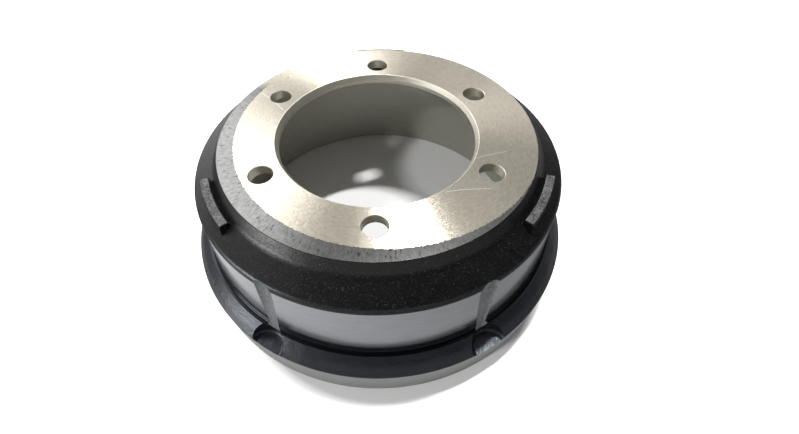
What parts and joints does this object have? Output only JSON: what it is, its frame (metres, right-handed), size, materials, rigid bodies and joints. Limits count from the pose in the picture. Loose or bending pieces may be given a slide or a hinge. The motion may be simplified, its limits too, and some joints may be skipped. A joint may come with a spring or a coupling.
{
  "type": "brake drum",
  "caption": "Cast iron brake drum, open end down: flat ring face with hub bore and bolt circle, coned shoulder, turned band and thick flange.",
  "frame": {"origin": "on the drum's axis, in the plane that the open end rests on", "axes": "+Z along the axis of rotation, from the open end towards the mounting face; +Y through one bolt hole and the middle of one raised bar"},
  "size_m": [0.3916, 0.3916, 0.13],
  "materials": {
    "drum_iron": "black painted casting with bare turned face and friction track"
  },
  "bodies": {
    "root": {"brake_drum": "drum_iron"}
  },
  "joints": []
}
